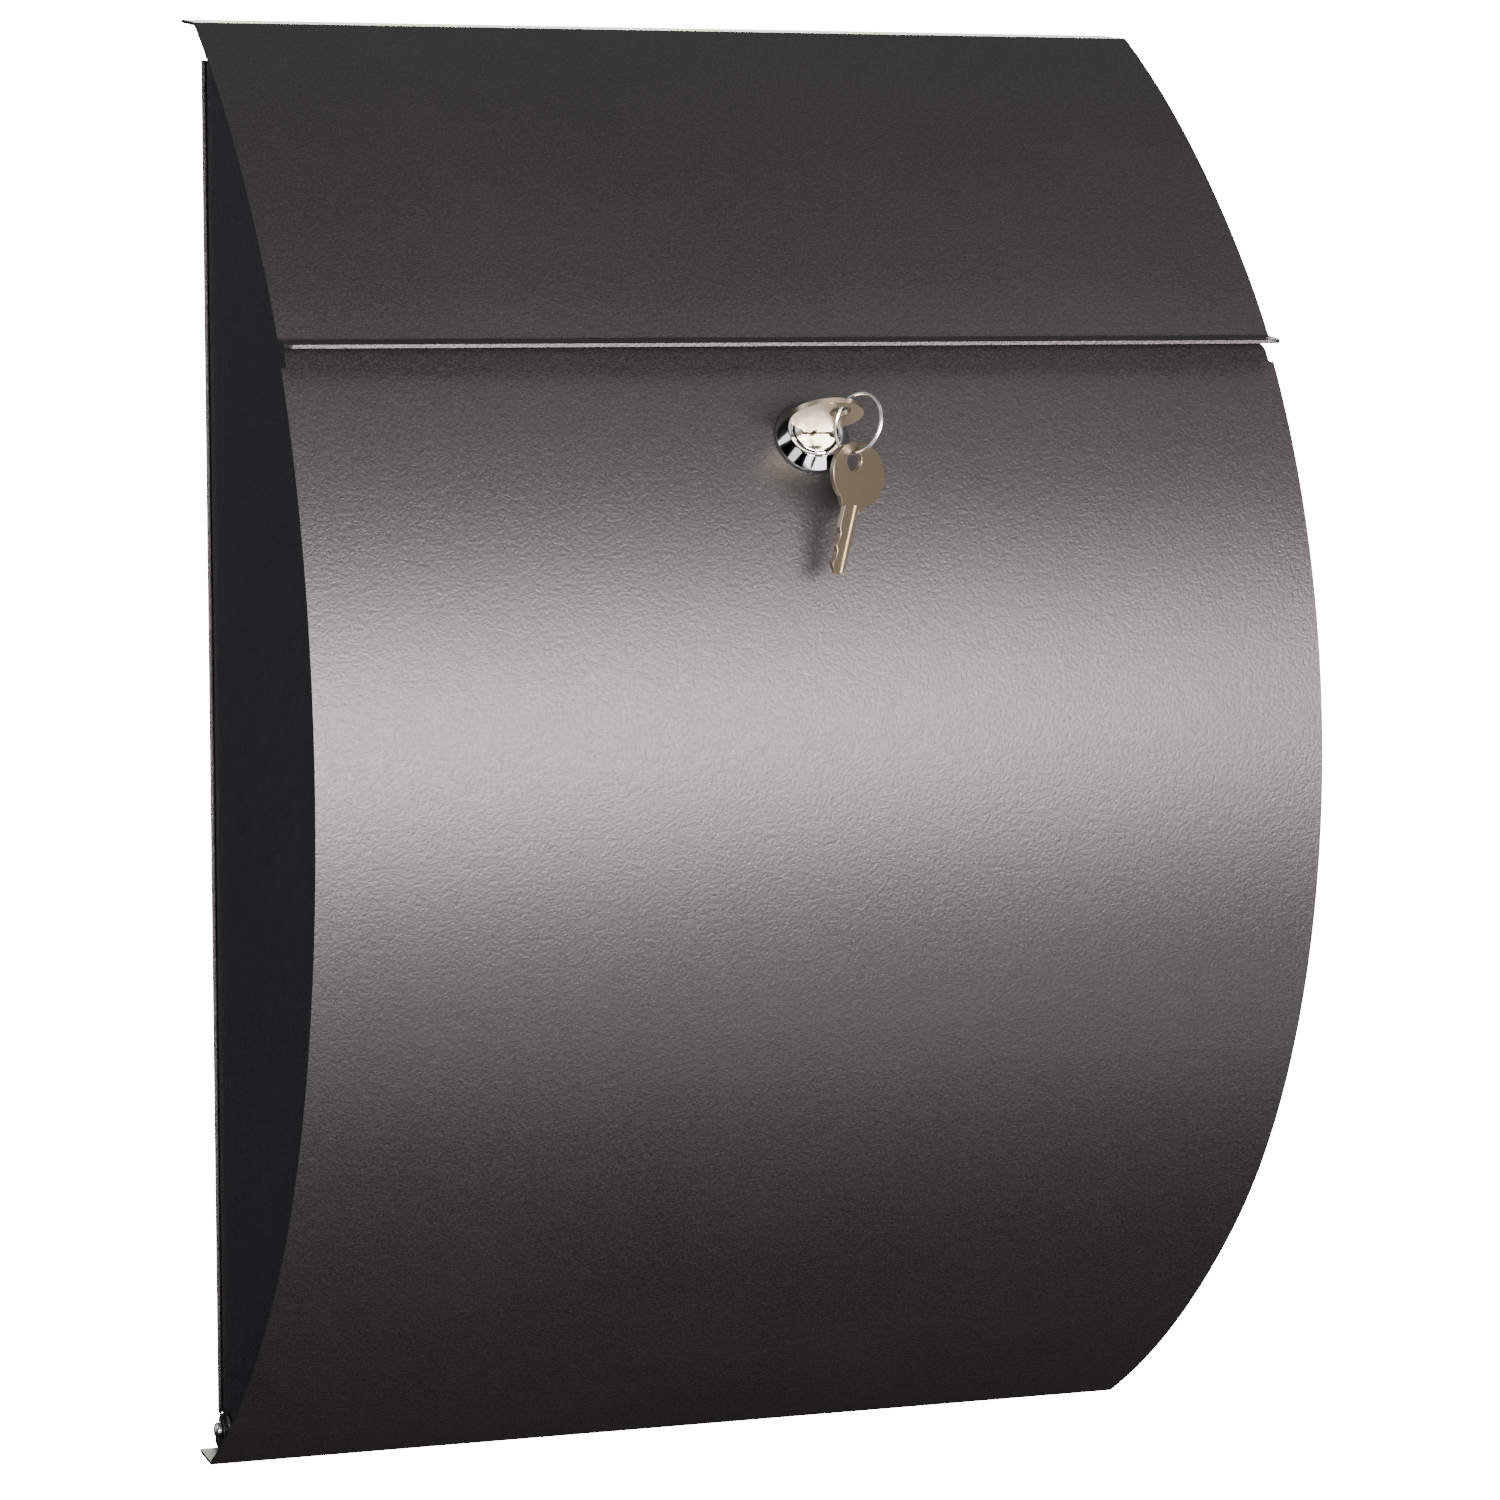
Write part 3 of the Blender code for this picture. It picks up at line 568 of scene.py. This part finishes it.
# ---------------------------------------------------------------- lock

def lock_matrix():
    """The lock's frame on the door's skin, in millimetres."""
    y, z = skin_point(LOCK_ANGLE)
    normal = Vector((0.0, -math.cos(LOCK_ANGLE), math.sin(LOCK_ANGLE)))
    up = Vector((0.0, math.sin(LOCK_ANGLE), math.cos(LOCK_ANGLE)))
    matrix = Matrix((X_AXIS, up, normal)).transposed().to_4x4()
    return Matrix.Translation((LOCK_X, y, z)) @ matrix


LOCK_MATRIX = lock_matrix()


def in_lock_frame(x, y, z):
    """x along X, y up along the door's skin, z out along its normal."""
    return tuple(LOCK_MATRIX @ Vector((x, y, z)))


def lock():
    """The housing, the plug with its keyway, and the washer, nut and cam behind the door."""
    bore = PLUG_R + GAP
    housing = [(bore, BARREL_BACK), (BARREL_R - 0.3, BARREL_BACK), (BARREL_R, BARREL_BACK + 0.3)]
    housing += [(BARREL_R, GAP), (BEZEL_R - 0.25, GAP), (BEZEL_R, GAP + 0.2)]
    housing += [(BEZEL_R, 1.0), (BEZEL_R - 0.15, 1.3)]
    housing += [(8.35, BEZEL_H - 0.5), (8.15, BEZEL_H - 0.15), (7.8, BEZEL_H)]
    housing += [(7.55, BEZEL_H), (7.4, BEZEL_H - 0.15), (7.3, BEZEL_H - 0.3)]
    housing += [(7.15, BEZEL_H - 0.12), (6.95, BEZEL_H - 0.05)]
    housing += [(bore + 0.1, BEZEL_H - 0.25), (bore, BEZEL_H - 0.5)]
    make("lock_bezel", lathe(housing, 128, in_lock_frame, closed=True), CHROME, "door_body",
         ("lock_housing",), sharp=28.0)

    plug = [(0.0, BARREL_BACK - 2.0), (7.2, BARREL_BACK - 2.0), (7.4, BARREL_BACK - 1.8)]
    plug += [(7.4, BARREL_BACK - GAP), (PLUG_R, BARREL_BACK - GAP), (PLUG_R, BEZEL_H - 0.75)]
    plug += [(PLUG_R - 0.15, BEZEL_H - 0.35), (PLUG_R - 0.55, BEZEL_H - 0.15)]
    plug.append((0.0, BEZEL_H - 0.12))
    half_u, half_t = BLADE_HALF + GAP, KEY_THICK / 2 + GAP
    slot = [(-half_u, -half_t), (half_u, -half_t), (half_u, half_t), (-half_u, half_t)]
    boss, boss_back = 3.0, CAM_PLANE - 1.7
    square = [(-boss, -boss), (boss, -boss), (boss, boss), (-boss, boss)]
    make("plug_piece", lathe(plug, 96, in_lock_frame), CHROME, "plug_body",
         ("lock_plug",), bevel=0.12, sharp=28.0,
         joins=[prism(square, boss_back, BARREL_BACK - 1.0, in_lock_frame)],
         cuts=[prism(slot, KEY_TIP_V - GAP, BEZEL_H + 3.0, in_lock_frame),
               prism(circle(HOLE_R, 24), boss_back - 2.0, BARREL_BACK - 1.2, in_lock_frame)])
    for node, body in (("lock_washer", "door_body"), ("lock_nut", "door_body"),
                       ("lock_cam", "plug_body"), ("cam_screw", "plug_body")):
        eased_copy(node, ZINC, body, EASE)
    eased_copy("front_rail", PAINT, "body", EASE)


# ---------------------------------------------------------------- keys

def key_outline():
    """The key's outline: u across it and v along it, out from the lock's face."""
    join = math.degrees(math.asin((KEY_SHOULDER_V + 2.0 - BOW_CENTRE_V) / BOW_HALF_V))
    bow = []
    for i in range(73):
        angle = math.radians(join + (180.0 - 2.0 * join) * i / 72)
        bow.append((BOW_HALF_U * math.cos(angle), BOW_CENTRE_V + BOW_HALF_V * math.sin(angle)))
    left = [(-BLADE_HALF - 1.2, KEY_SHOULDER_V), (-BLADE_HALF, KEY_SHOULDER_V)]
    left += [(-BLADE_HALF, KEY_SHOULDER_V - 4.0)]
    for k, depth in enumerate(KEY_CUT_DEPTHS):
        v = KEY_SHOULDER_V - 5.5 - KEY_CUT_PITCH * k
        left += [(-BLADE_HALF + depth, v), (-BLADE_HALF + depth, v - KEY_CUT_WIDTH)]
    left += [(-BLADE_HALF, KEY_TIP_V + 2.8), (-1.0, KEY_TIP_V)]
    right = [(1.0, KEY_TIP_V), (BLADE_HALF, KEY_TIP_V + 2.5), (BLADE_HALF, KEY_SHOULDER_V),
             (BLADE_HALF + 1.2, KEY_SHOULDER_V)]
    return bow + left + right


def key(name, node, place, body, hole_u):
    """A key with a hole in its bow and a groove along each face of its blade."""
    half = KEY_THICK / 2
    cuts = [prism(circle(KEY_HOLE_R, 48, (hole_u, KEY_HOLE_V)), -half - 2.0, half + 2.0, place)]
    for u, face in ((0.9, half), (-0.9, -half)):
        groove = [(u - 0.7, KEY_TIP_V - 1.0), (u + 0.7, KEY_TIP_V - 1.0),
                  (u + 0.7, KEY_SHOULDER_V + 1.2), (u - 0.7, KEY_SHOULDER_V + 1.2)]
        low, high = sorted((face * 0.45, face * 3.0))
        cuts.append(prism(groove, low, high, place))
    make(name, prism(key_outline(), -half, half, place), NICKEL, body, (node,),
         bevel=0.2, segments=3, sharp=25.0, cuts=cuts)


def split_ring(centre, first, second):
    """Two close turns of wire, stepping from one to the other."""
    normal = first.cross(second)
    wire, steps, sides = RING_WIRE_R / 2, 260, 10
    vertices, faces = [], []
    for i in range(steps + 1):
        turn = 2.0 * i / steps
        angle = math.tau * turn + math.radians(200.0)
        blend = min(1.0, max(0.0, (turn - 0.94) / 0.12))
        lift = (2.0 * (3 * blend ** 2 - 2 * blend ** 3) - 1.0) * wire * 1.02
        spoke = first * math.cos(angle) + second * math.sin(angle)
        for k in range(sides):
            a = math.tau * k / sides
            out = RING_R + 1.7 * wire * math.cos(a)
            vertices.append(centre + (spoke * out + normal * (lift + wire * 0.94 * math.sin(a))))
    for i in range(steps):
        for k in range(sides):
            m = (k + 1) % sides
            a, b = i * sides, (i + 1) * sides
            faces.append((a + k, b + k, b + m, a + m))
    faces += [tuple(range(sides)), tuple(reversed(range(steps * sides, (steps + 1) * sides)))]
    make("split_ring", mesh_from(vertices, faces), ZINC, "ring_body", ("key_ring",),
         sharp=50.0)


def keys():
    """The key in the lock, the ring through its bow and the spare key that hangs from the ring."""
    key("key_in_lock_piece", "key_in_lock", lambda u, v, t: in_lock_frame(u, t, v), "key_body",
        KEY_HOLE_U)
    hole = Vector(in_lock_frame(KEY_HOLE_U, 0.0, KEY_HOLE_V))
    sideways = Z_AXIS.cross(RING_DIRECTION)
    ring_up = Z_AXIS * math.cos(RING_LEAN) + sideways * math.sin(RING_LEAN)
    centre = hole + RING_DIRECTION * RING_OUT - ring_up * RING_DROP
    split_ring(centre, RING_DIRECTION, ring_up)
    spare_hole = centre - ring_up * RING_R - Z_AXIS * (KEY_HOLE_R - RING_WIRE_R - GAP)
    blade_up = Z_AXIS * math.cos(SPARE_TILT) + sideways * math.sin(SPARE_TILT)
    blade_across = sideways * math.cos(SPARE_TILT) - Z_AXIS * math.sin(SPARE_TILT)

    def place(u, v, t):
        turned = blade_across * (u + KEY_HOLE_U) + blade_up * (v - KEY_HOLE_V)
        return tuple(spare_hole + turned + RING_DIRECTION * t)

    key("spare_key_piece", "spare_key", place, "spare_key_body", -KEY_HOLE_U)


# ---------------------------------------------------------------- studio

def area_light(name, at, target, size, power, color, roll):
    """A soft box that the camera can't see."""
    light = bpy.data.lights.new(name, "AREA")
    light.shape, light.size, light.size_y = "RECTANGLE", *size
    light.energy, light.color = power, color
    lamp = bpy.data.objects.new(name, light)
    lamp.location = at
    facing = (Vector(target) - Vector(at)).to_track_quat("-Z", "Y").to_matrix()
    lamp.rotation_euler = (facing @ Matrix.Rotation(math.radians(roll), 3, "Z")).to_euler()
    lamp.visible_camera = False
    bpy.context.scene.collection.objects.link(lamp)


def studio():
    """The camera, a plain white backdrop and floor, and the lights."""
    camera_data = bpy.data.cameras.new("camera")
    camera_data.lens, camera_data.sensor_width = CAMERA_LENS, SENSOR_WIDTH
    camera_data.clip_start, camera_data.clip_end = CLIP_START, CLIP_END
    camera = bpy.data.objects.new("camera", camera_data)
    camera.location, camera.rotation_euler = CAMERA_AT, CAMERA_TURN
    bpy.context.scene.collection.objects.link(camera)
    bpy.context.scene.camera = camera

    world = bpy.data.worlds.new("studio")
    bpy.context.scene.world = world
    world.use_nodes = True
    nodes, links = world.node_tree.nodes, world.node_tree.links
    backdrop, fill = nodes["Background"], nodes.new("ShaderNodeBackground")
    backdrop.inputs["Color"].default_value = (1.0, 1.0, 1.0, 1.0)
    backdrop.inputs["Strength"].default_value = BACKDROP_STRENGTH
    fill.inputs["Color"].default_value = (0.95, 0.97, 1.0, 1.0)
    direction, parts = nodes.new("ShaderNodeTexCoord"), nodes.new("ShaderNodeSeparateXYZ")
    height = nodes.new("ShaderNodeMapRange")
    for socket, value in zip(MAP_RANGE, SKY):
        height.inputs[socket].default_value = value
    links.new(direction.outputs["Generated"], parts.inputs["Vector"])
    links.new(parts.outputs["Z"], height.inputs["Value"])
    links.new(height.outputs["Result"], fill.inputs["Strength"])
    path, mix = nodes.new("ShaderNodeLightPath"), nodes.new("ShaderNodeMixShader")
    links.new(path.outputs["Is Camera Ray"], mix.inputs["Fac"])
    links.new(fill.outputs["Background"], mix.inputs[1])
    links.new(backdrop.outputs["Background"], mix.inputs[2])
    links.new(mix.outputs["Shader"], nodes["World Output"].inputs["Surface"])

    floor_mesh = prism(circle(FLOOR_R, 64), FLOOR_TOP - FLOOR_THICK, FLOOR_TOP, upward)
    floor = bpy.data.objects.new("floor", floor_mesh)
    pale = Shading("pale_floor", (0.9, 0.9, 0.9), 0.9)
    pale.shader.inputs["Emission Color"].default_value = (1.0, 1.0, 1.0, 1.0)
    pale.shader.inputs["Emission Strength"].default_value = FLOOR_GLOW
    floor_mesh.materials.append(pale.material)
    bpy.context.scene.collection.objects.link(floor)
    floor.visible_diffuse = floor.visible_glossy = False

    for light in LIGHTS:
        area_light(*light)


back_sheet()
side_sheet(-1.0, "left")
side_sheet(1.0, "right")
floor_sheet()
lid_sheet()
door_sheet()
hinge_screws()
lock()
keys()
studio()
